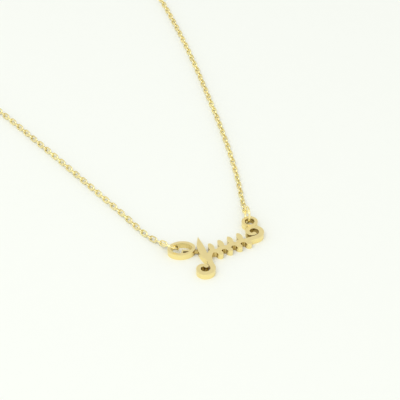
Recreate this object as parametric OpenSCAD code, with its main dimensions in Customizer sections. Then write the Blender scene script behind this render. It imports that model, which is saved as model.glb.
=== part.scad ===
// A fine cable-chain necklace that lies on a flat surface, with a small cast pendant in
// the form of a leafy vine. Millimetres, +Z up, the surface at z = 0, the vine along +X,
// and the clasp at the far end of the loop, towards +Y. All places below are measured from
// the middle of the vine, and the finished parts are moved so that the loop is centred.

/* [Pendant] */
// Thickness of the cast pendant
plate_t = 1.4; // [1.3:0.05:1.5]
// Width of the vine where it is widest
vine_w = 1.2; // [1.1:0.05:1.3]
// Length of a small upper leaf
leaf_l = 2.9; // [2.7:0.1:3]
// Width of a small leaf
leaf_w = 1.3; // [1.2:0.05:1.4]

/* [Eyelets] */
// Outer diameter of the right eyelet
right_eyelet_d = 3.7; // [3.6:0.05:3.8]
// Outer length of the oval left eyelet
left_eyelet_l = 6.26; // [6.2:0.02:6.3]
// Outer width of the oval left eyelet
left_eyelet_w = 4.76; // [4.7:0.02:4.8]
// Width of the right eyelet's band
right_band_w = 0.75; // [0.7:0.05:0.8]
// Width of the left eyelet's band
left_band_w = 0.72; // [0.66:0.02:0.74]

/* [Rings and clasp] */
// Outer diameter of a jump ring
ring_d = 4.2; // [4.2:0.02:4.24]
// Wire diameter of a jump ring
ring_wire = 0.46; // [0.44:0.01:0.48]
// Outer diameter of the round clasp
clasp_d = 6; // [5.9:0.05:6]
// Wire diameter of the round clasp
clasp_wire = 1; // [0.9:0.05:1]

/* [Chain] */
// Wire diameter of a link
link_wire = 0.35; // [0.32:0.01:0.35]
// Outer width of a link
link_w = 1.4; // [1.38:0.01:1.42]
// Distance from one link to the next when the chain is pulled straight
pitch = 1.52; // [1.5:0.01:1.53]
// Play between two links that pull on each other
play = 0.12; // [0.11:0.01:0.13]

/* [Hidden] */
$fn = 48;

// The middle of the whole loop, seen from above
loop_centre = [0.15, 83.23];

// Sizes of a link, a jump ring and the clasp
link_hole = pitch + play;
bend_r = (link_w - link_wire) / 2;
straight = link_hole + link_wire - 2 * bend_r;
ring_r = (ring_d - ring_wire) / 2;
clasp_r = (clasp_d - clasp_wire) / 2;
tail_wire = 0.42;
tail_r = 0.78;

// Every link lies half turned, on one shoulder, and its neighbour on the other. The links
// on the floor hover a hair above it, because a link on a slope reaches lower than its middle
link_roll = 45;
hover = 0.018;
lying_z = bend_r * sin(link_roll) + link_wire / 2 + hover;

// The vine: a lower spiral, a bow up to the stem line, a wave, and an upper spiral
lower_centre = [-9.45, -5.4];
lower_r = [1.85, 0.72];
lower_sweep = 325;
bow = [
    [-7.5, -4.65], [-7.32, -3.85], [-7.02, -3.1], [-6.62, -2.4], [-6.2, -1.83], [-5.85, -1.47]
];
upper_centre = [6.1, 0.1];
upper_r = [1.9, 0.62];
upper_sweep = 350;
stem_v = -1.45;
wave_h = 0.2;
tip_w = 0.9;
ball_r = 0.52;

// Places of the eyelets, and the notch under each band where its jump ring passes
right_eyelet = [7.17, 3.6];
left_eyelet = [-10.89, 2.85];
left_eyelet_turn = -20;
right_notch = [1, 0.7];
right_notch_bearing = 88;
left_notch = [1.1, 0.8];
left_notch_bearing = 110;
// The bar from the long leaf to the middle of the left eyelet, and on to its near side
bar_line = [[-7.6, 0.7], [-10.85, 2.45], [-11.75, 0.95]];
bar_w = 0.65;
bar_z = 0.3;
bar_h = 0.75;

// Small leaves, by turns above and below the stem: the first one's place along the stem, the
// step to the next, how many, the leans and lengths of an upper and a lower one, their bend,
// and how blunt they are, where 1 is pointed and less is rounder
leaf_from = -5.25;
leaf_step = 1.22;
leaf_count = 8;
leaf_leans = [79, -80];
leaf_lengths = [leaf_l, leaf_l * 0.66];
leaf_bend = -0.15;
leaf_blunt = 0.45;
// The long leaf: base, length and width as shares of a small leaf, lean and bend
long_from = [-7.6, -4.8];
long_share = [3.27, 1.35];
long_lean = 79;
long_bend = 0.5;

// The loop's route by hand, seen from above, from the pendant up each side to the clasp
RIGHT_ROUTE = [
    [9.6, 10.9], [14.5, 23.5], [19, 37.5], [23.2, 52.5], [27.2, 67.5], [30.8, 83],
    [33.8, 98.5], [35.7, 114], [35.6, 129], [32.6, 143.8], [26, 157], [16.2, 166.2],
    [9.6, 169.8]
];
LEFT_ROUTE = [
    [-15.3, 11.5], [-16.7, 20.5], [-18.6, 31.5], [-20.6, 43], [-22.8, 55], [-25.3, 68],
    [-28.4, 82], [-31.8, 96.5], [-34.7, 111.5], [-35.6, 127], [-33.2, 142.5], [-26.8, 156],
    [-17, 166], [-11, 169.8]
];

// How the rings and the clasp lie: bearings seen from above, tilts and gaps
right_ring_bearing = 80;
right_ring_heading = 73;
right_ring_play = 0.12;
upright = 96;
left_ring_place = [-12.86, 4.49];
left_ring_heading = 121.8;
left_ring_tilt = 44.7;
clasp_at = [-1, 171.2];
clasp_lift = 10;
clasp_ring_play = 0.5;
// How far the tail ring's wire is from the clasp's wire, outward and up
tail_step = [0.35, 0.3];

function polar(r, a) = [r * cos(a), r * sin(a)];
function on_floor(p, z) = [p.x, p.y, z];
module centred() {
    translate(-on_floor(loop_centre, 0)) children();
}

upright_z = ring_r * sin(upright) + ring_wire / 2;
right_ring_at = on_floor(right_eyelet
    + polar((right_eyelet_d - right_band_w) / 2, right_ring_bearing)
    + polar(right_ring_play, right_ring_heading), upright_z);
left_ring_at = on_floor(left_ring_place, ring_r * sin(left_ring_tilt) + ring_wire / 2);
clasp_centre = on_floor(clasp_at, clasp_r * sin(clasp_lift) + clasp_wire / 2);
clasp_ring_at = on_floor(clasp_at + [clasp_r + clasp_ring_play, 0], upright_z);
tail_at = on_floor(clasp_at - [clasp_r + tail_r + tail_step.x, 0],
    clasp_wire / 2 + tail_step.y);

// The point of a tilted ring's wire at an angle round the ring
function wire_point(at, r, heading, tilt, a) =
    let (out = r * cos(a), side = r * sin(a) * cos(tilt))
        at + [out * cos(heading) - side * sin(heading),
            out * sin(heading) + side * cos(heading), r * sin(a) * sin(tilt)];

// A chain's end: the point it holds, how far from there its link's middle lies, the
// link's turn, and the length of chain that slopes down to the floor
POINT = 0;
REACH = 1;
TURN = 2;
RUN = 3;
function reach(wire) = link_hole / 2 - wire / 2 - play;
hang = 20;
left_hold = 23;
left_turn = -47;
tail_hold = 194;
ring_run = 5;
bent_run = 6;
AT_RIGHT_RING = [wire_point(right_ring_at, ring_r, right_ring_heading, upright, -hang),
    reach(ring_wire), 0, ring_run];
AT_CLASP_RING = [wire_point(clasp_ring_at, ring_r, 0, upright, -hang),
    reach(ring_wire), 0, ring_run];
AT_LEFT_RING = [wire_point(left_ring_at, ring_r, left_ring_heading, left_ring_tilt,
    -left_hold), reach(ring_wire), left_turn, bent_run];
AT_TAIL = [wire_point(tail_at, tail_r, 0, 0, tail_hold), reach(tail_wire), 90, bent_run];

// A smooth curve through points: each is left along the line between its neighbours
STEPS = 16;
function slope(p, i) =
    let (a = p[max(i - 1, 0)], b = p[i], c = p[min(i + 1, len(p) - 1)])
        (c - a) / (norm(b - a) + norm(c - b));
function bend(a, b, ma, mb, t) =
    (2 * t * t * t - 3 * t * t + 1) * a + (t * t * t - 2 * t * t + t) * ma
        + (3 * t * t - 2 * t * t * t) * b + (t * t * t - t * t) * mb;
function curve(p) = concat(
    [for (i = [0:len(p) - 2]) let (gap = norm(p[i + 1] - p[i])) for (k = [0:STEPS - 1])
        bend(p[i], p[i + 1], gap * slope(p, i), gap * slope(p, i + 1), k / STEPS)],
    [p[len(p) - 1]]
);
function lengths(p) = [
    for (i = 0, s = 0; i < len(p); i = i + 1,
        s = s + (i < len(p) ? norm(p[i] - p[i - 1]) : 0)) s
];
function table(p, s, axis) = [for (i = [0:len(p) - 1]) [s[i], p[i][axis]]];
function flat(p) = [p.x, p.y];

// The vine's centre line, from the lower spiral's inner end to the upper one's
TURN_STEPS = 36;
WAVE_STEPS = 8;
WAVE_LEAD = 2;
function spiral_r(r, share) = r[0] + (r[1] - r[0]) * share * share;
lower_turn = [for (k = [TURN_STEPS:-1:0]) let (t = k / TURN_STEPS)
    lower_centre + polar(spiral_r(lower_r, t), -lower_sweep * t)];
wave = [for (k = [-WAVE_LEAD:WAVE_STEPS * (leaf_count - 1)]) let (t = k / WAVE_STEPS)
    [leaf_from + leaf_step * t, stem_v + wave_h * cos(180 * t)]];
upper_turn = [for (k = [0:TURN_STEPS]) let (t = k / TURN_STEPS, a = upper_sweep * t)
    upper_centre + spiral_r(upper_r, t) * [sin(a), -cos(a)]];
vine_line = concat(lower_turn, bow, wave, upper_turn);

function heading(p, i) =
    let (a = p[max(i - 1, 0)], b = p[min(i + 1, len(p) - 1)]) (b - a) / norm(b - a);
function side_of(p, i, w) = let (d = heading(p, i)) p[i] + w / 2 * [-d.y, d.x];
// The vine is widest at its middle and thins towards both ends
function vine_width(i, n) = tip_w + (vine_w - tip_w) * min(1, 4 * min(i, n - i) / n);

// The height of a cut that goes right through
through = 3 * plate_t;

module vine() {
    n = len(vine_line) - 1;
    left_side = [for (i = [0:n]) side_of(vine_line, i, vine_width(i, n))];
    right_side = [for (i = [n:-1:0]) side_of(vine_line, i, -vine_width(i, n))];
    linear_extrude(plate_t) polygon(concat(left_side, right_side));
    for (end = [vine_line[0], vine_line[n]])
        translate([end.x, end.y, 0]) cylinder(h = plate_t, r = ball_r);
}

// A leaf along x that bends to one side
LEAF_POINTS = 18;
function leaf_side(l, w, bend, blunt, up) = [
    for (k = [0:LEAF_POINTS]) let (t = up > 0 ? k / LEAF_POINTS : 1 - k / LEAF_POINTS)
        [l * t, 4 * bend * t * (1 - t) + up * w / 2 * pow(sin(180 * t), blunt)]
];
function leaf_outline(l, w, bend, blunt) = concat(
    leaf_side(l, w, bend, blunt, 1),
    [for (k = [1:LEAF_POINTS - 1]) leaf_side(l, w, bend, blunt, -1)[k]]
);

module leaf(from, l, w, lean, bend, blunt) {
    translate([from.x, from.y, 0]) rotate([0, 0, lean])
        linear_extrude(plate_t) polygon(leaf_outline(l, w, bend, blunt));
}

module leaves() {
    for (i = [0:leaf_count - 1]) {
        side = i % 2;
        leaf([leaf_from + leaf_step * i, stem_v], leaf_lengths[side], leaf_w, leaf_leans[side],
            leaf_bend, leaf_blunt);
    }
    leaf(long_from, leaf_l * long_share[0], leaf_w * long_share[1], long_lean, long_bend, 1);
}

module eyelet(at, d) {
    translate([at.x, at.y, 0]) cylinder(h = plate_t, d = d);
}

module eyelet_hole(at, d) {
    translate([at.x, at.y, -plate_t]) cylinder(h = through, d = d);
}

// An upright oval block over a point, from a height up
OVAL_STEPS = 60;
module oval(at, l, w, turn, from, h) {
    translate([at.x, at.y, from]) rotate([0, 0, turn]) linear_extrude(h)
        polygon([for (k = [1:OVAL_STEPS]) let (a = 360 * k / OVAL_STEPS)
            [l / 2 * cos(a), w / 2 * sin(a)]]);
}

// The notch that lets a jump ring pass under a band, from the eyelet's middle outward
module notch(at, bearing, size) {
    translate([at.x, at.y, -plate_t]) rotate([0, 0, bearing]) translate([0, -size[0] / 2, 0])
        cube([left_eyelet_w, size[0], plate_t + size[1]]);
}

// The bent bar, lower than the top of the plate
module bent_bar() {
    n = len(bar_line) - 1;
    translate([0, 0, bar_z]) linear_extrude(bar_h) polygon(concat(
        [for (i = [0:n]) side_of(bar_line, i, bar_w)],
        [for (i = [n:-1:0]) side_of(bar_line, i, -bar_w)]
    ));
}

module pendant() color("#E3CB85") centred() {
    difference() {
        union() {
            vine();
            leaves();
            eyelet(right_eyelet, right_eyelet_d);
            oval(left_eyelet, left_eyelet_l, left_eyelet_w, left_eyelet_turn, 0, plate_t);
        }
        eyelet_hole(right_eyelet, right_eyelet_d - 2 * right_band_w);
        oval(left_eyelet, left_eyelet_l - 2 * left_band_w, left_eyelet_w - 2 * left_band_w,
            left_eyelet_turn, -plate_t, through);
        notch(right_eyelet, right_notch_bearing, right_notch);
        notch(left_eyelet, left_notch_bearing, left_notch);
    }
    bent_bar();
}

// A round ring that lies flat about its own centre
module ring(r, wire) {
    rotate_extrude() translate([r, 0]) circle(d = wire);
}

module tilted_ring(at, r, heading, tilt, wire) {
    translate(at) rotate([tilt, 0, heading]) ring(r, wire);
}

module right_jump_ring() color("#D9B860") centred()
    tilted_ring(right_ring_at, ring_r, right_ring_heading, upright, ring_wire);

module left_jump_ring() color("#D9B860") centred()
    tilted_ring(left_ring_at, ring_r, left_ring_heading, left_ring_tilt, ring_wire);

module clasp_ring() color("#D9B860") centred()
    tilted_ring(clasp_ring_at, ring_r, 0, upright, ring_wire);

// A link along x, lying flat: two half rings and two straight sides
module link() {
    for (turn = [0, 180]) rotate([0, 0, turn]) {
        translate([straight / 2, 0, 0]) rotate([0, 0, -90])
            rotate_extrude(angle = 180) translate([bend_r, 0]) circle(d = link_wire);
        translate([-straight / 2, bend_r, 0]) rotate([0, 90, 0])
            cylinder(h = straight, d = link_wire);
    }
}

// Towards an end the links turn, over this length, and the chain rises to what it holds
TURN_RUN = 7.6;
TURN_EASE = 1.2;
function fade(s) = pow(max(0, 1 - s / TURN_RUN), TURN_EASE);
function lie(s, end) =
    bend_r * sin(link_roll + abs(abs(end[TURN]) - link_roll) * fade(s)) + link_wire / 2
        + hover;
function rise(s, end) = lie(s, end) - lying_z
    + (end[POINT].z - lie(0, end)) * pow(max(0, 1 - s / end[RUN]), 2);

// Links along a route, a pitch apart, turned by turns to the left and to the right
module chain(route, start, finish) {
    seen = curve(concat([flat(start[POINT])], route, [flat(finish[POINT])]));
    run = lengths(seen);
    run_end = run[len(run) - 1];
    p = [for (i = [0:len(seen) - 1]) on_floor(seen[i],
        lying_z + rise(run[i], start) + rise(run_end - run[i], finish))];
    s = lengths(p);
    from = start[REACH];
    to = s[len(s) - 1] - finish[REACH];
    count = ceil((to - from) / pitch);
    step = (to - from) / count;
    axes = [for (axis = [0:2]) table(p, s, axis)];
    first_side = start[TURN] < 0 ? -1 : 1;
    last_side = count % 2 == 0 ? first_side : -first_side;
    for (i = [0:count]) {
        side = i % 2 == 0 ? first_side : -first_side;
        roll = side * link_roll
            + (start[TURN] - first_side * link_roll) * fade(i * step + start[REACH])
            + last_side * (finish[TURN] - link_roll) * fade((count - i) * step + finish[REACH]);
        spot = [for (k = [i - 0.5, i, i + 0.5]) [for (t = axes) lookup(from + k * step, t)]];
        d = spot[2] - spot[0];
        translate(spot[1]) rotate([0, -atan2(d.z, norm(flat(d))), atan2(d.y, d.x)])
            rotate([roll, 0, 0]) link();
    }
}

module right_chain() color("#D9BE6C") centred()
    chain(RIGHT_ROUTE, AT_RIGHT_RING, AT_CLASP_RING);

module left_chain() color("#D9BE6C") centred()
    chain(LEFT_ROUTE, AT_LEFT_RING, AT_TAIL);

module clasp() color("#D9B860") centred() {
    translate(clasp_centre) rotate([0, -clasp_lift, 0]) ring(clasp_r, clasp_wire);
    translate(tail_at) ring(tail_r, tail_wire);
}

pendant();
right_jump_ring();
left_jump_ring();
right_chain();
left_chain();
clasp_ring();
clasp();
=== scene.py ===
"""Finishes a fine cable-chain necklace and its cast vine pendant in satin and polished gold."""
import math
from bisect import bisect_right
from itertools import accumulate, pairwise
from typing import NamedTuple

import bmesh
import bpy
from bpy.props import FloatProperty, FloatVectorProperty, IntProperty, PointerProperty
from mathutils import Euler, Matrix, Vector
from mathutils.bvhtree import BVHTree


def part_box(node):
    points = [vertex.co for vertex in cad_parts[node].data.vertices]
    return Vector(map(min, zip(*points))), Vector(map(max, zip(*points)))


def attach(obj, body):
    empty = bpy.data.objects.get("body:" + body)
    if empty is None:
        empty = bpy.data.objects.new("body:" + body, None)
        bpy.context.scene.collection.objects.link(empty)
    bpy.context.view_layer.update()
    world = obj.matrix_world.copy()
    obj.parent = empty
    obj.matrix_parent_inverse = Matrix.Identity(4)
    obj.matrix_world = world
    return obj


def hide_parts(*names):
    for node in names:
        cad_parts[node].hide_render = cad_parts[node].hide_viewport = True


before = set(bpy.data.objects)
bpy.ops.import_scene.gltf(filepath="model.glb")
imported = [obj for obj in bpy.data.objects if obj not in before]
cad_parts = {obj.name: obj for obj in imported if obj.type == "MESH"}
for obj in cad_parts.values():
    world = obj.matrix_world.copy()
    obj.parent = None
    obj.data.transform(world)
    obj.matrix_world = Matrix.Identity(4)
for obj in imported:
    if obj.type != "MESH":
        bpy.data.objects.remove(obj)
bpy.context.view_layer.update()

bl_info = {
    "name": "Vine Pendant Necklace",
    "version": (1, 0, 0),
    "blender": (4, 5, 0),
    "location": "View3D > Sidebar > Necklace",
    "description": "Finishes a fine gold cable-chain necklace with a cast vine pendant",
    "category": "Add Mesh",
}

# Everything rides on the one body, because the necklace has no joints
BODY = "root"

# The frame's origin, measured from the middle of the vine, as the routes below are
LOOP_MIDDLE = Vector((0.00015, 0.08323, 0))

# The routes of the two strands, seen from above, from the pendant to the clasp
RIGHT_ROUTE = [
    (0.0096, 0.0109), (0.0145, 0.0235), (0.019, 0.0375), (0.0232, 0.0525), (0.0272, 0.0675),
    (0.0308, 0.083), (0.0338, 0.0985), (0.0357, 0.114), (0.0356, 0.129), (0.0326, 0.1438),
    (0.026, 0.157), (0.0162, 0.1662), (0.0096, 0.1698),
]
LEFT_ROUTE = [
    (-0.0153, 0.0115), (-0.0167, 0.0205), (-0.0186, 0.0315), (-0.0206, 0.043),
    (-0.0228, 0.055), (-0.0253, 0.068), (-0.0284, 0.082), (-0.0318, 0.0965),
    (-0.0347, 0.1115), (-0.0356, 0.127), (-0.0332, 0.1425), (-0.0268, 0.156),
    (-0.017, 0.166), (-0.011, 0.1698),
]

# How each jump ring lies: its turn about X, Y and Z, in degrees
RING_TURNS = {
    "right_jump_ring": (96, 0, 73),
    "left_jump_ring": (44.7, 0, 121.8),
    "clasp_ring": (96, 0, 0),
}

# Where on a ring's wire the end link holds, in degrees from the ring's own X
HOLDS = {"right_jump_ring": -20, "clasp_ring": -20, "left_jump_ring": -23, "clasp": 194}

# The tail eyelet of the clasp: radius to the middle of its wire, the wire, and its height
TAIL_R = 0.00078
TAIL_WIRE = 0.00042
TAIL_Z = 0.0008

# The end link's turn about its own length where a strand holds a ring or the tail eyelet
UPRIGHT_RING_TURN = 0
LEFT_RING_TURN = -47
TAIL_TURN = 90

# Every link leans on one shoulder, and its neighbour on the other
LINK_LEAN = 45
HOVER = 0.000018

# Near an end the links turn over one length of chain, and rise to what they hold over another
TURN_RUN = 0.0076
TURN_EASE = 1.2
RING_RUN = 0.005
SLANT_RUN = 0.006

# Steps of the smooth line between two points of a route
ROUTE_STEPS = 16

# The way from the camera to the room behind the necklace, where it is a little darker
FAR_SIDE = (0.37, 0.68, 0.636)

# The camera's place from the frame's origin, its downward tilt and its turn in degrees, and its
# focal length
CAMERA_AT = (-0.12684, -0.30145, 0.221083)
CAMERA_TILT = 39.5
CAMERA_TURN = -28.6
LENS = 0.13374

# How shut in a face is, which sets the painted shade on the cast gold: the attribute's name, how
# far its rays reach and start from the face, their leans from the face's normal in degrees, and how
# many go round at each lean
SHADE_ATTRIBUTE = "painted_shade_share"
RECESS_REACH = 0.005
RECESS_START = 0.00001
RECESS_LEANS = (20, 50, 75)
RECESS_WAYS = 8

# The shares of such rays at which the painted shade on the cast gold begins and is darkest
PAINTED_SHADE_SHARES = (0.2, 0.6)

# The attributes that hold a link's slight difference in colour, and how it is turned
TONE = "tone"
TURN = "turn"

# A strand or a ring may leave the space that the frame gives it by this much, and no more
STRAY = 0.0001

# Points nearer than this are one, and faces that meet at a smaller angle are one flat face
WELD = 0.000001
FLAT_ANGLE = math.radians(0.2)

# An edge that is sharper than this is rounded on the pendant and kept crisp on the clasp
CREASE = math.radians(40)

# Where round a jump ring its fine join sits
JOIN_AT = math.radians(120)

# The satin face of the pendant ends this far below its top, where the polished walls begin
FACE_DEPTH = 0.00002

# The fine grain of the cast gold, and how much of its relief is left on the polished walls
CAST_GRAIN = 0.00012
WALL_RELIEF = 0.25

# The overhead lamp's place from the frame's origin, and its width. It is turned to the origin
LAMP_AT = (-0.3, -0.2, 0.8)
LAMP_SIZE = 0.6

# The nearest and the farthest distance at which the camera sees
CLIP = (0.01, 20)


class Pattern(NamedTuple):
    """A surface's soft patches: their size and detail, how dull and bright they are as shares
    of its colour, how much they change its roughness, and the depth of its relief."""

    size: float
    detail: int
    dull: float
    bright: float
    roughening: float
    relief: float


# One pattern for each finish
CAST_PATTERN = Pattern(0.0015, 2, dull=0.95, bright=1.04, roughening=0.1, relief=0.000004)
WIRE_PATTERN = Pattern(0.0007, 3, dull=0.94, bright=1.04, roughening=0.12, relief=0.000003)
LINK_PATTERN = Pattern(0.0005, 2, dull=0.88, bright=1.06, roughening=0.1, relief=0.000002)
BOARD_PATTERN = Pattern(0.004, 3, dull=0.995, bright=1.005, roughening=0, relief=0)

# The pale board isn't a metal: its roughness, and how strongly it shines
BOARD_ROUGHNESS = 0.6
BOARD_SHINE = 0.3


class PendantSizes(bpy.types.PropertyGroup):
    edge_round: FloatProperty(
        name="Edge Round", description="Radius of the pendant's rounded edges",
        default=0.00007, min=0, max=0.0002, unit="LENGTH", subtype="DISTANCE", precision=5,
    )
    edge_steps: IntProperty(
        name="Edge Steps", description="Faces across a rounded edge", default=3, min=1, max=6,
    )


class RingSizes(bpy.types.PropertyGroup):
    width: FloatProperty(
        name="Ring Width", description="Outer diameter of a jump ring",
        default=0.0042, min=0.003, max=0.006, unit="LENGTH", subtype="DISTANCE", precision=5,
    )
    wire: FloatProperty(
        name="Ring Wire", description="Wire diameter of a jump ring",
        default=0.00046, min=0.0003, max=0.0008, unit="LENGTH", subtype="DISTANCE", precision=5,
    )
    join: FloatProperty(
        name="Join", description="Angle of the fine gap where a jump ring is closed",
        default=math.radians(0.7), min=0, max=0.1, unit="ROTATION", subtype="ANGLE",
    )
    wire_sides: IntProperty(
        name="Wire Sides", description="Faces round a ring's wire", default=20, min=8, max=32,
    )
    steps: IntProperty(
        name="Steps", description="Faces along a ring", default=96, min=24, max=200,
    )


class ChainSizes(bpy.types.PropertyGroup):
    wire: FloatProperty(
        name="Link Wire", description="Wire diameter of a link",
        default=0.00035, min=0.0002, max=0.0004, unit="LENGTH", subtype="DISTANCE", precision=5,
    )
    width: FloatProperty(
        name="Link Width", description="Outer width of a link",
        default=0.0014, min=0.001, max=0.002, unit="LENGTH", subtype="DISTANCE", precision=5,
    )
    pitch: FloatProperty(
        name="Pitch", description="Distance from one link to the next on a taut chain",
        default=0.00152, min=0.001, max=0.002, unit="LENGTH", subtype="DISTANCE", precision=5,
    )
    play: FloatProperty(
        name="Play", description="Play between two links that pull on each other",
        default=0.00012, min=0, max=0.0003, unit="LENGTH", subtype="DISTANCE", precision=5,
    )
    wire_sides: IntProperty(
        name="Wire Sides", description="Faces round a link's wire", default=8, min=5, max=16,
    )
    bend_steps: IntProperty(
        name="Bend Steps", description="Faces along a quarter of a link's bend",
        default=3, min=2, max=8,
    )
    tone_seed: IntProperty(
        name="Tone Seed", description="Picks each link's slight difference in colour", default=7,
    )


class GoldFinish(bpy.types.PropertyGroup):
    cast_colour: FloatVectorProperty(
        name="Cast Gold", description="Colour of the cast pendant",
        default=(0.98, 0.825, 0.39), min=0, max=1, subtype="COLOR",
    )
    wire_colour: FloatVectorProperty(
        name="Wire Gold", description="Colour of the rings, the clasp and the chain",
        default=(1, 0.87, 0.44), min=0, max=1, subtype="COLOR",
    )
    # The dark brown of the painted shade that the cast gold turns to where its own walls shut a
    # face in
    painted_shade_colour: FloatVectorProperty(
        name="Painted Shade Gold", description="Colour that the cast gold has darkened to in its recesses",
        default=(0.44, 0.29, 0.06), min=0, max=1, subtype="COLOR",
    )
    satin: FloatProperty(
        name="Satin Roughness", description="Roughness of the pendant's flat faces",
        default=0.36, min=0.05, max=1, subtype="FACTOR",
    )
    polish: FloatProperty(
        name="Polished Roughness", description="Roughness of polished sides and wire",
        default=0.14, min=0.02, max=1, subtype="FACTOR",
    )


class StageSettings(bpy.types.PropertyGroup):
    floor_colour: FloatVectorProperty(
        name="Floor", description="Colour of the pale floor",
        default=(0.86, 0.884, 0.827), min=0, max=1, subtype="COLOR",
    )
    floor_size: FloatProperty(
        name="Floor Size", description="Width of the square floor",
        default=3, min=0.5, max=10, unit="LENGTH", subtype="DISTANCE",
    )
    room_colour: FloatVectorProperty(
        name="Room", description="Colour of the soft light from all sides",
        default=(1, 1, 1), min=0, max=1, subtype="COLOR",
    )
    room_light: FloatProperty(
        name="Room Light", description="Brightness of the soft light from all sides",
        default=0.945, min=0, max=5,
    )
    far_side: FloatProperty(
        name="Far Side", description="Brightness of the room behind the necklace, as a share",
        default=0.8, min=0, max=1, subtype="FACTOR",
    )
    lamp_power: FloatProperty(
        name="Lamp Power", description="Power of the large soft lamp overhead",
        default=2.2, min=0, max=100, unit="POWER",
    )


class Socket:
    """A node's output. Arithmetic on it adds Math nodes to its graph."""

    def __init__(self, graph, output):
        self.graph = graph
        self.output = output

    def math(self, operation, *values):
        made = self.graph.node(
            "ShaderNodeMath", {"operation": operation}, dict(enumerate(values))
        )
        return made["Value"]

    def __add__(self, other):
        return self.math("ADD", self, other)

    def __radd__(self, other):
        return self.math("ADD", other, self)

    def __sub__(self, other):
        return self.math("SUBTRACT", self, other)

    def __rsub__(self, other):
        return self.math("SUBTRACT", other, self)

    def __mul__(self, other):
        return self.math("MULTIPLY", self, other)

    def __rmul__(self, other):
        return self.math("MULTIPLY", other, self)

    def __truediv__(self, other):
        return self.math("DIVIDE", self, other)

    def clamped(self):
        return self.graph.node("ShaderNodeClamp", inputs={"Value": self})["Result"]


class Made:
    """A node that was added to a graph. An index or a name gives one of its outputs."""

    def __init__(self, graph, node):
        self.graph = graph
        self.node = node

    def __getitem__(self, key):
        return Socket(self.graph, self.node.outputs[key])


class Graph:
    """A node tree that is filled by one method."""

    def __init__(self, tree):
        self.tree = tree
        self.tree.nodes.clear()

    def node(self, kind, settings=None, inputs=None):
        """Adds a node, sets its settings, then sets or links its inputs by name or index."""
        made = self.tree.nodes.new(kind)
        for name, value in (settings or {}).items():
            setattr(made, name, value)
        for key, value in (inputs or {}).items():
            if isinstance(value, Socket):
                self.tree.links.new(value.output, made.inputs[key])
            else:
                made.inputs[key].default_value = value
        return Made(self, made)

    def mix(self, share, low, high):
        """One colour turning into another as the share goes from 0 to 1."""
        return self.node("ShaderNodeMix", {"data_type": "RGBA"}, {0: share, 6: low, 7: high})[2]


def opaque(colour, strength=1):
    """A colour with full alpha, its brightness scaled."""
    return (*(channel * strength for channel in colour), 1)


def material_graph(name):
    """A new material and its empty graph."""
    material = bpy.data.materials.new(name)
    material.use_nodes = True
    return material, Graph(material.node_tree)


def clouds(graph, place, size, detail):
    """Soft noise whose patches are about one size across, from 0 to 1."""
    inputs = {"Vector": place, "Scale": 1 / size, "Detail": detail}
    return graph.node("ShaderNodeTexNoise", inputs=inputs)["Fac"]


def toned(graph, share, colour, pattern):
    """A colour that runs from a pattern's dull tone to its bright one as the share grows."""
    return graph.mix(share, opaque(colour, pattern.dull), opaque(colour, pattern.bright))


def finish_metal(graph, colour, roughness, height, depth):
    """Ends a graph in gold: the colour and roughness given, with a fine relief."""
    bump = graph.node("ShaderNodeBump", inputs={"Height": height, "Distance": depth})
    metal = graph.node("ShaderNodeBsdfPrincipled", inputs={
        "Base Color": colour, "Metallic": 1, "Roughness": roughness, "Normal": bump["Normal"],
    })
    graph.node("ShaderNodeOutputMaterial", inputs={"Surface": metal["BSDF"]})


def cast_gold(finish, top):
    """Cast gold with a satin face at the given height, polished walls and painted shade in its
    recesses.
    """
    material, graph = material_graph("cast_gold")
    pattern = CAST_PATTERN
    place = graph.node("ShaderNodeTexCoord")["Object"]
    height = graph.node("ShaderNodeSeparateXYZ", inputs={"Vector": place})["Z"]
    face = ((height - (top - FACE_DEPTH)) / FACE_DEPTH).clamped()
    patches = clouds(graph, place, pattern.size, pattern.detail)
    grain = clouds(graph, place, CAST_GRAIN, detail=4)
    roughness = finish.polish + face * (finish.satin - finish.polish)
    unshaded = toned(graph, patches, finish.cast_colour, pattern)
    # Painted shade: the colour turns to a dark brown where the pendant's own walls shut a face in
    shut_in = graph.node("ShaderNodeAttribute", {"attribute_name": SHADE_ATTRIBUTE})["Fac"]
    open_share, shut_share = PAINTED_SHADE_SHARES
    painted_shade = ((shut_in - open_share) / (shut_share - open_share)).clamped()
    finish_metal(
        graph,
        graph.mix(painted_shade, unshaded, opaque(finish.painted_shade_colour)),
        roughness + (patches - 0.5) * pattern.roughening,
        grain * (WALL_RELIEF + face * (1 - WALL_RELIEF)),
        pattern.relief,
    )
    return material


def wire_gold(finish):
    """Drawn and polished wire with faint streaks of wear."""
    material, graph = material_graph("wire_gold")
    pattern = WIRE_PATTERN
    place = graph.node("ShaderNodeTexCoord")["Object"]
    wear = clouds(graph, place, pattern.size, pattern.detail)
    colour = toned(graph, wear, finish.wire_colour, pattern)
    roughness = finish.polish + (wear - 0.5) * pattern.roughening
    finish_metal(graph, colour, roughness, wear, pattern.relief)
    return material


def link_gold(finish):
    """Polished wire in which each link has its own slight tone."""
    material, graph = material_graph("link_gold")
    pattern = LINK_PATTERN
    place = graph.node("ShaderNodeTexCoord")["Object"]
    wear = clouds(graph, place, pattern.size, pattern.detail)
    tone = graph.node("ShaderNodeAttribute", {"attribute_name": TONE})["Fac"]
    colour = toned(graph, tone, finish.wire_colour, pattern)
    roughness = finish.polish + (wear - 0.5) * pattern.roughening
    finish_metal(graph, colour, roughness, wear, pattern.relief)
    return material


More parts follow.
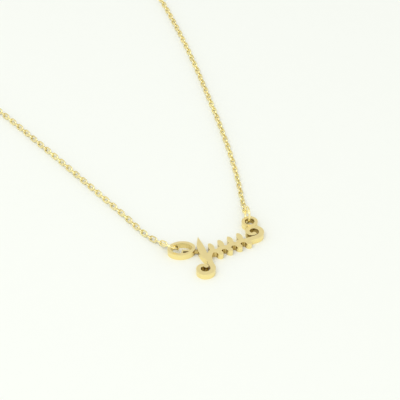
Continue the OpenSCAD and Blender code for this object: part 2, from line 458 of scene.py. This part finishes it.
def floor_paint(stage):
    """Matt pale board with a barely visible grain."""
    material, graph = material_graph("pale_board")
    pattern = BOARD_PATTERN
    place = graph.node("ShaderNodeTexCoord")["Object"]
    grain = clouds(graph, place, pattern.size, pattern.detail)
    board = graph.node("ShaderNodeBsdfPrincipled", inputs={
        "Base Color": toned(graph, grain, stage.floor_colour, pattern),
        "Roughness": BOARD_ROUGHNESS, "Specular IOR Level": BOARD_SHINE,
    })
    graph.node("ShaderNodeOutputMaterial", inputs={"Surface": board["BSDF"]})
    return material


def new_object(name, mesh):
    """An object at the origin that holds a mesh, shown in the scene."""
    made = bpy.data.objects.new(name, mesh)
    bpy.context.scene.collection.objects.link(made)
    return made


def plain_mesh(piece):
    """Turns what a piece's modifiers make into its plain mesh, and removes them."""
    evaluated = piece.evaluated_get(bpy.context.evaluated_depsgraph_get())
    mesh = bpy.data.meshes.new_from_object(evaluated)
    piece.modifiers.clear()
    piece.data = mesh
    mesh.name = piece.name
    return mesh


def settle(piece, slot, *nodes):
    """Hands a finished piece over: what it rides on, and what it stands for. The slot is not used.
    """
    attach(piece, BODY)
    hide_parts(*nodes)


def welded_copy(node, name):
    """A CAD node's surface as one connected mesh with whole flat faces."""
    work = bmesh.new()
    work.from_mesh(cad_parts[node].data)
    bmesh.ops.remove_doubles(work, verts=work.verts, dist=WELD)
    bmesh.ops.dissolve_limit(
        work, angle_limit=FLAT_ANGLE, verts=work.verts, edges=work.edges
    )
    mesh = bpy.data.meshes.new(name)
    work.to_mesh(mesh)
    work.free()
    normals = mesh.attributes.get("custom_normal")
    if normals:
        mesh.attributes.remove(normals)
    mesh.shade_smooth()
    return new_object(name, mesh)


def mark_painted_shade(mesh):
    """Stores how shut in each face is, the share of short rays from it that hit the mesh, for the
    painted shade of the cast gold.
    """
    tree = BVHTree.FromPolygons(
        [vertex.co for vertex in mesh.vertices], [face.vertices for face in mesh.polygons]
    )
    fan = [
        Vector((math.sin(lean) * math.cos(way), math.sin(lean) * math.sin(way), math.cos(lean)))
        for lean in (math.radians(angle) for angle in RECESS_LEANS)
        for way in (math.tau * i / RECESS_WAYS for i in range(RECESS_WAYS))
    ]
    marks = mesh.attributes.new(SHADE_ATTRIBUTE, "FLOAT", "CORNER")
    for face in mesh.polygons:
        turn = face.normal.to_track_quat("Z", "Y")
        start = face.center + face.normal * RECESS_START
        hits = sum(
            tree.ray_cast(start, turn @ ray, RECESS_REACH)[0] is not None for ray in fan
        )
        for corner in face.loop_indices:
            marks.data[corner].value = hits / len(fan)


def middle(node):
    """The middle of a CAD node's box."""
    low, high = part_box(node)
    return (low + high) / 2


def ring_matrix(node):
    """Where a jump ring lies, from a ring about Z at the origin."""
    turn = Euler([math.radians(angle) for angle in RING_TURNS[node]])
    return Matrix.Translation(middle(node)) @ turn.to_matrix().to_4x4()


class ChainEnd(NamedTuple):
    """What a strand's end holds, how far along the end link lies, its turn, and its slope."""

    point: Vector
    reach: float
    turn: float
    run: float


def around(radius, degrees):
    """A point on a circle about Z."""
    angle = math.radians(degrees)
    return Vector((radius * math.cos(angle), radius * math.sin(angle), 0))


def reach(chain, wire):
    """From the middle of the held wire to the middle of the end link."""
    return (chain.pitch + chain.play) / 2 - wire / 2 - chain.play


def ring_end(chain, rings, node, turn, run):
    """The end of a strand at a jump ring."""
    ring_r = (rings.width - rings.wire) / 2
    point = ring_matrix(node) @ around(ring_r, HOLDS[node])
    return ChainEnd(point, reach(chain, rings.wire), turn, run)


def tail_end(chain):
    """The end of a strand at the clasp's tail eyelet."""
    low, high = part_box("clasp")
    tail = Vector((low.x + TAIL_R + TAIL_WIRE / 2, (low.y + high.y) / 2, TAIL_Z))
    point = tail + around(TAIL_R, HOLDS["clasp"])
    return ChainEnd(point, reach(chain, TAIL_WIRE), TAIL_TURN, SLANT_RUN)


def smooth(points):
    """A curve through points, each left along the line between its neighbours."""
    slopes = []
    for i, here in enumerate(points):
        before = points[max(i - 1, 0)]
        after = points[min(i + 1, len(points) - 1)]
        slopes.append((after - before) / ((here - before).length + (after - here).length))
    line = []
    for (a, slope_a), (b, slope_b) in pairwise(zip(points, slopes)):
        gap = (b - a).length
        for step in range(ROUTE_STEPS):
            t = step / ROUTE_STEPS
            line.append(
                (2 * t**3 - 3 * t**2 + 1) * a + (t**3 - 2 * t**2 + t) * gap * slope_a
                + (3 * t**2 - 2 * t**3) * b + (t**3 - t**2) * gap * slope_b
            )
    return [*line, points[-1]]


def lengths(line):
    """How far along a line each of its points lies."""
    return [0, *accumulate((b - a).length for a, b in pairwise(line))]


def along(line, marks, distance):
    """The point of a line at a distance along it."""
    distance = min(max(distance, 0), marks[-1])
    i = min(bisect_right(marks, distance), len(marks) - 1)
    share = (distance - marks[i - 1]) / (marks[i] - marks[i - 1])
    return line[i - 1].lerp(line[i], share)


def fade(distance):
    """How much of an end's turn is left at a distance from it, from 1 down to 0."""
    return max(0, 1 - distance / TURN_RUN) ** TURN_EASE


def lying_height(chain, turn):
    """Height of a link's middle when it lies on the floor at a turn."""
    bend_r = (chain.width - chain.wire) / 2
    return bend_r * math.sin(math.radians(turn)) + chain.wire / 2 + HOVER


def rise(chain, distance, end):
    """How much an end lifts the strand at a distance from it."""
    off_lean = abs(abs(end.turn) - LINK_LEAN)
    turn = LINK_LEAN + off_lean * fade(distance)
    end_turn = LINK_LEAN + off_lean
    slope = max(0, 1 - distance / end.run) ** 2
    lift = (end.point.z - lying_height(chain, end_turn)) * slope
    return lying_height(chain, turn) - lying_height(chain, LINK_LEAN) + lift


def link_places(chain, route, start, finish):
    """The middle and the turn of each link of a strand, from one end to the other."""
    seen = smooth([
        start.point.xy, *(Vector(point) - LOOP_MIDDLE.xy for point in route), finish.point.xy
    ])
    run = lengths(seen)
    line = []
    for point, distance in zip(seen, run):
        height = lying_height(chain, LINK_LEAN) + rise(chain, distance, start)
        height += rise(chain, run[-1] - distance, finish)
        line.append(Vector((*point, height)))
    marks = lengths(line)
    span = marks[-1] - finish.reach - start.reach
    count = math.ceil(span / chain.pitch)
    step = span / count
    first_side = -1 if start.turn < 0 else 1
    last_side = first_side if count % 2 == 0 else -first_side
    places = []
    for i in range(count + 1):
        side = first_side if i % 2 == 0 else -first_side
        lean = side * LINK_LEAN
        lean += (start.turn - first_side * LINK_LEAN) * fade(i * step + start.reach)
        lean += last_side * (finish.turn - LINK_LEAN) * fade((count - i) * step + finish.reach)
        back, here, ahead = (
            along(line, marks, start.reach + k * step) for k in (i - 0.5, i, i + 0.5)
        )
        way = ahead - back
        turn = (
            math.radians(lean), -math.atan2(way.z, way.xy.length), math.atan2(way.y, way.x)
        )
        places.append((here, turn))
    return places


def add_input(tree, name, kind):
    """A named input of a Geometry Nodes tree, and its identifier."""
    return tree.interface.new_socket(name, in_out="INPUT", socket_type=kind).identifier


def wire_tree(name, inputs):
    """A Geometry Nodes tree with a geometry in and out and the named inputs."""
    tree = bpy.data.node_groups.new(name, "GeometryNodeTree")
    tree.interface.new_socket("Geometry", in_out="INPUT", socket_type="NodeSocketGeometry")
    tree.interface.new_socket("Geometry", in_out="OUTPUT", socket_type="NodeSocketGeometry")
    names = {label: add_input(tree, label, kind) for label, kind in inputs.items()}
    return tree, names


def swept(graph, line, wire, sides):
    """A round wire swept along a line, smooth to look at."""
    section = graph.node("GeometryNodeCurvePrimitiveCircle", inputs={
        "Resolution": sides, "Radius": wire / 2,
    })
    body = graph.node("GeometryNodeCurveToMesh", inputs={
        "Curve": line, "Profile Curve": section["Curve"], "Fill Caps": True,
    })
    welded = graph.node("GeometryNodeMergeByDistance", inputs={
        "Geometry": body["Mesh"], "Distance": WELD,
    })
    return graph.node("GeometryNodeSetShadeSmooth", inputs={"Geometry": welded["Geometry"]})[0]


def end_tree(graph, geometry, material):
    """Realizes the instances, sets the material and gives the result out."""
    real = graph.node("GeometryNodeRealizeInstances", inputs={"Geometry": geometry})
    painted = graph.node("GeometryNodeSetMaterial", inputs={
        "Geometry": real["Geometry"], "Material": material,
    })
    graph.node("NodeGroupOutput", inputs={"Geometry": painted["Geometry"]})


def strand_tree(material):
    """A tree that sets one link at each point, turned by the point's attribute."""
    tree, names = wire_tree("cable_links", {
        "Hole Length": "NodeSocketFloat",
        "Width": "NodeSocketFloat",
        "Wire": "NodeSocketFloat",
        "Wire Sides": "NodeSocketInt",
        "Bend Steps": "NodeSocketInt",
        "Tone Seed": "NodeSocketInt",
    })
    graph = Graph(tree)
    sizes = graph.node("NodeGroupInput")
    across = sizes["Width"] - sizes["Wire"]
    oval = graph.node("GeometryNodeCurvePrimitiveQuadrilateral", inputs={
        "Width": sizes["Hole Length"] + sizes["Wire"], "Height": across,
    })
    rounded = graph.node("GeometryNodeFilletCurve", {"mode": "POLY"}, {
        "Curve": oval["Curve"], "Count": sizes["Bend Steps"], "Radius": across / 2,
        "Limit Radius": True,
    })
    link = swept(graph, rounded["Curve"], sizes["Wire"], sizes["Wire Sides"])
    turn = graph.node(
        "GeometryNodeInputNamedAttribute", {"data_type": "FLOAT_VECTOR"}, {"Name": TURN}
    )
    links = graph.node("GeometryNodeInstanceOnPoints", inputs={
        "Points": sizes["Geometry"], "Instance": link, "Rotation": turn["Attribute"],
    })
    tone = graph.node("FunctionNodeRandomValue", inputs={"Seed": sizes["Tone Seed"]})
    toned = graph.node(
        "GeometryNodeStoreNamedAttribute", {"data_type": "FLOAT", "domain": "INSTANCE"},
        {"Geometry": links["Instances"], "Name": TONE, "Value": tone[1]},
    )
    end_tree(graph, toned["Geometry"], material)
    return tree, names


def ring_tree(material):
    """A tree that bends a wire into a ring whose ends meet at a fine join."""
    tree, names = wire_tree("jump_ring", {
        "Width": "NodeSocketFloat",
        "Wire": "NodeSocketFloat",
        "Join": "NodeSocketFloat",
        "Wire Sides": "NodeSocketInt",
        "Steps": "NodeSocketInt",
    })
    graph = Graph(tree)
    sizes = graph.node("NodeGroupInput")
    arc = graph.node("GeometryNodeCurveArc", inputs={
        "Resolution": sizes["Steps"],
        "Radius": (sizes["Width"] - sizes["Wire"]) / 2,
        "Start Angle": JOIN_AT + sizes["Join"] / 2,
        "Sweep Angle": 2 * math.pi - sizes["Join"],
    })
    wire = swept(graph, arc["Curve"], sizes["Wire"], sizes["Wire Sides"])
    end_tree(graph, wire, material)
    return tree, names


def grow(piece, tree, values):
    """Runs a tree on a piece with the values of its inputs, and keeps the plain mesh."""
    modifier = piece.modifiers.new(tree.name, "NODES")
    modifier.node_group = tree
    for identifier, value in values.items():
        modifier[identifier] = value
    return plain_mesh(piece)


def check_place(piece, node):
    """Stops the script if a piece has left the space of the node that it stands for."""
    corners = [vertex.co for vertex in piece.data.vertices]
    low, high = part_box(node)
    for axis in range(3):
        reach_low = min(corner[axis] for corner in corners)
        reach_high = max(corner[axis] for corner in corners)
        if abs(reach_low - low[axis]) > STRAY or abs(reach_high - high[axis]) > STRAY:
            raise RuntimeError(f"{piece.name} doesn't lie where {node} does")


class NECKLACE_OT_pendant(bpy.types.Operator):
    """Adds the cast vine pendant with rounded edges, a satin face and polished walls"""

    bl_idname = "necklace.pendant"
    bl_label = "Vine Pendant"

    def execute(self, context):
        sizes = context.scene.pendant_sizes
        pendant = welded_copy("pendant", "vine_pendant")
        bevel = pendant.modifiers.new("edges", "BEVEL")
        bevel.width = sizes.edge_round
        bevel.segments = sizes.edge_steps
        bevel.limit_method = "ANGLE"
        bevel.angle_limit = CREASE
        bevel.harden_normals = True
        plain_mesh(pendant)
        # How shut in each face is sets its painted shade
        mark_painted_shade(pendant.data)
        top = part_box("pendant")[1].z
        pendant.data.materials.append(cast_gold(context.scene.gold_finish, top))
        settle(pendant, "pendant_gold", "pendant")
        return {"FINISHED"}


class NECKLACE_OT_rings(bpy.types.Operator):
    """Adds the jump rings and the clasp ring, each bent from wire and closed at a fine join"""

    bl_idname = "necklace.rings"
    bl_label = "Jump Rings"

    def execute(self, context):
        sizes = context.scene.ring_sizes
        tree, names = ring_tree(wire_gold(context.scene.gold_finish))
        for node in RING_TURNS:
            ring = new_object(f"{node}_wire", bpy.data.meshes.new(node))
            grow(ring, tree, {
                names["Width"]: sizes.width,
                names["Wire"]: sizes.wire,
                names["Join"]: sizes.join,
                names["Wire Sides"]: sizes.wire_sides,
                names["Steps"]: sizes.steps,
            })
            ring.data.transform(ring_matrix(node))
            check_place(ring, node)
            settle(ring, "ring_gold", node)
        return {"FINISHED"}


class NECKLACE_OT_strands(bpy.types.Operator):
    """Adds the two strands of cable chain, link by link, along their routes"""

    bl_idname = "necklace.strands"
    bl_label = "Cable Chain"

    def execute(self, context):
        chain = context.scene.chain_sizes
        rings = context.scene.ring_sizes
        right = ring_end(chain, rings, "right_jump_ring", UPRIGHT_RING_TURN, RING_RUN)
        clasp = ring_end(chain, rings, "clasp_ring", UPRIGHT_RING_TURN, RING_RUN)
        left = ring_end(chain, rings, "left_jump_ring", LEFT_RING_TURN, SLANT_RUN)
        strands = {
            "right_chain": (RIGHT_ROUTE, right, clasp),
            "left_chain": (LEFT_ROUTE, left, tail_end(chain)),
        }
        tree, names = strand_tree(link_gold(context.scene.gold_finish))
        for node, (route, start, finish) in strands.items():
            places = link_places(chain, route, start, finish)
            mesh = bpy.data.meshes.new(node)
            mesh.from_pydata([place for place, _ in places], [], [])
            turns = mesh.attributes.new(TURN, "FLOAT_VECTOR", "POINT")
            turns.data.foreach_set("vector", [angle for _, turn in places for angle in turn])
            strand = new_object(f"{node}_links", mesh)
            grow(strand, tree, {
                names["Hole Length"]: chain.pitch + chain.play,
                names["Width"]: chain.width,
                names["Wire"]: chain.wire,
                names["Wire Sides"]: chain.wire_sides,
                names["Bend Steps"]: chain.bend_steps,
                names["Tone Seed"]: chain.tone_seed,
            })
            check_place(strand, node)
            settle(strand, "chain_gold", node)
        return {"FINISHED"}


class NECKLACE_OT_clasp(bpy.types.Operator):
    """Adds the plain round clasp with its soldered tail eyelet"""

    bl_idname = "necklace.clasp"
    bl_label = "Round Clasp"

    def execute(self, context):
        clasp = welded_copy("clasp", "round_clasp")
        clasp.data.set_sharp_from_angle(angle=CREASE)
        clasp.data.materials.append(wire_gold(context.scene.gold_finish))
        settle(clasp, "ring_gold", "clasp")
        return {"FINISHED"}


class NECKLACE_OT_stage(bpy.types.Operator):
    """Adds the pale floor, the soft light and the camera"""

    bl_idname = "necklace.stage"
    bl_label = "Stage"

    def execute(self, context):
        settings = context.scene.stage_settings
        self.add_floor(settings)
        self.add_light(settings)
        self.add_camera(context.scene)
        context.scene.view_settings.view_transform = "Standard"
        return {"FINISHED"}

    def add_floor(self, settings):
        half = settings.floor_size / 2
        mesh = bpy.data.meshes.new("floor")
        corners = [(-half, -half, 0), (half, -half, 0), (half, half, 0), (-half, half, 0)]
        mesh.from_pydata(corners, [], [(0, 1, 2, 3)])
        mesh.materials.append(floor_paint(settings))
        new_object("floor", mesh)

    def add_light(self, settings):
        world = bpy.data.worlds.new("room")
        world.use_nodes = True
        bpy.context.scene.world = world
        graph = Graph(world.node_tree)
        way = graph.node("ShaderNodeTexCoord")["Generated"]
        towards_far = graph.node(
            "ShaderNodeVectorMath", {"operation": "DOT_PRODUCT"}, {0: way, 1: FAR_SIDE}
        )["Value"].clamped()
        light = graph.mix(
            towards_far * towards_far, opaque(settings.room_colour),
            opaque(settings.room_colour, settings.far_side),
        )
        room = graph.node("ShaderNodeBackground", inputs={
            "Color": light, "Strength": settings.room_light,
        })
        graph.node("ShaderNodeOutputWorld", inputs={"Surface": room["Background"]})
        lamp = bpy.data.lights.new("overhead_lamp", "AREA")
        lamp.energy = settings.lamp_power
        lamp.size = LAMP_SIZE
        overhead = bpy.data.objects.new("overhead_lamp", lamp)
        overhead.location = LAMP_AT
        overhead.rotation_euler = (-overhead.location).to_track_quat("-Z", "Y").to_euler()
        bpy.context.scene.collection.objects.link(overhead)

    def add_camera(self, scene):
        lens = bpy.data.cameras.new("camera")
        lens.lens_unit = "MILLIMETERS"
        lens.lens = LENS * 1000
        lens.clip_start, lens.clip_end = CLIP
        camera = bpy.data.objects.new("camera", lens)
        camera.location = CAMERA_AT
        camera.rotation_euler = (math.radians(90 - CAMERA_TILT), 0, math.radians(CAMERA_TURN))
        scene.collection.objects.link(camera)
        scene.camera = camera


OPERATORS = (
    NECKLACE_OT_stage,
    NECKLACE_OT_pendant,
    NECKLACE_OT_rings,
    NECKLACE_OT_strands,
    NECKLACE_OT_clasp,
)
SETTINGS = {
    "pendant_sizes": PendantSizes,
    "ring_sizes": RingSizes,
    "chain_sizes": ChainSizes,
    "gold_finish": GoldFinish,
    "stage_settings": StageSettings,
}


class NECKLACE_PT_panel(bpy.types.Panel):
    """Lists the necklace's pieces and their sizes"""

    bl_idname = "NECKLACE_PT_panel"
    bl_label = "Vine Pendant Necklace"
    bl_space_type = "VIEW_3D"
    bl_region_type = "UI"
    bl_category = "Necklace"

    def draw(self, context):
        for operator in OPERATORS:
            self.layout.operator(operator.bl_idname)
        for name, group in SETTINGS.items():
            box = self.layout.box()
            for setting in group.__annotations__:
                box.prop(getattr(context.scene, name), setting)


def register():
    for group in SETTINGS.values():
        bpy.utils.register_class(group)
    for operator in OPERATORS:
        bpy.utils.register_class(operator)
    bpy.utils.register_class(NECKLACE_PT_panel)
    for name, group in SETTINGS.items():
        setattr(bpy.types.Scene, name, PointerProperty(type=group))


def unregister():
    for name in SETTINGS:
        delattr(bpy.types.Scene, name)
    bpy.utils.unregister_class(NECKLACE_PT_panel)
    for operator in reversed(OPERATORS):
        bpy.utils.unregister_class(operator)
    for group in SETTINGS.values():
        bpy.utils.unregister_class(group)


def main():
    register()
    bpy.ops.necklace.stage()
    bpy.ops.necklace.pendant()
    bpy.ops.necklace.rings()
    bpy.ops.necklace.strands()
    bpy.ops.necklace.clasp()


if __name__ == "__main__":
    main()
